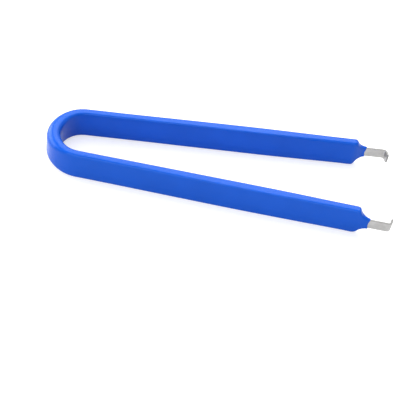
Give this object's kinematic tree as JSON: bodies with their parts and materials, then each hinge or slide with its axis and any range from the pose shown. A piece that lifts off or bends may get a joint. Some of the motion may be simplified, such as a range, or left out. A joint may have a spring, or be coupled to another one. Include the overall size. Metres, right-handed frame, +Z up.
{
  "type": "ic extractor tool",
  "caption": "U-shaped spring-steel extractor with inward-hooked tips and a dipped vinyl coat, squeezed by hand to lift dual in-line chips out of their sockets.",
  "frame": {"origin": "centre of the bounding box on the rest plane, at the lower long edge of the coat", "axes": "+X along the tool from the bend towards the hooked tips, +Y from one arm to the other, +Z up along the strip's width"},
  "size_m": [0.114, 0.0356, 0.01],
  "materials": {
    "steel": "satin rolled strip",
    "vinyl": "glossy dipped vinyl"
  },
  "bodies": {
    "root": {"steel_strip": "steel", "vinyl_coat": "vinyl"}
  },
  "joints": []
}
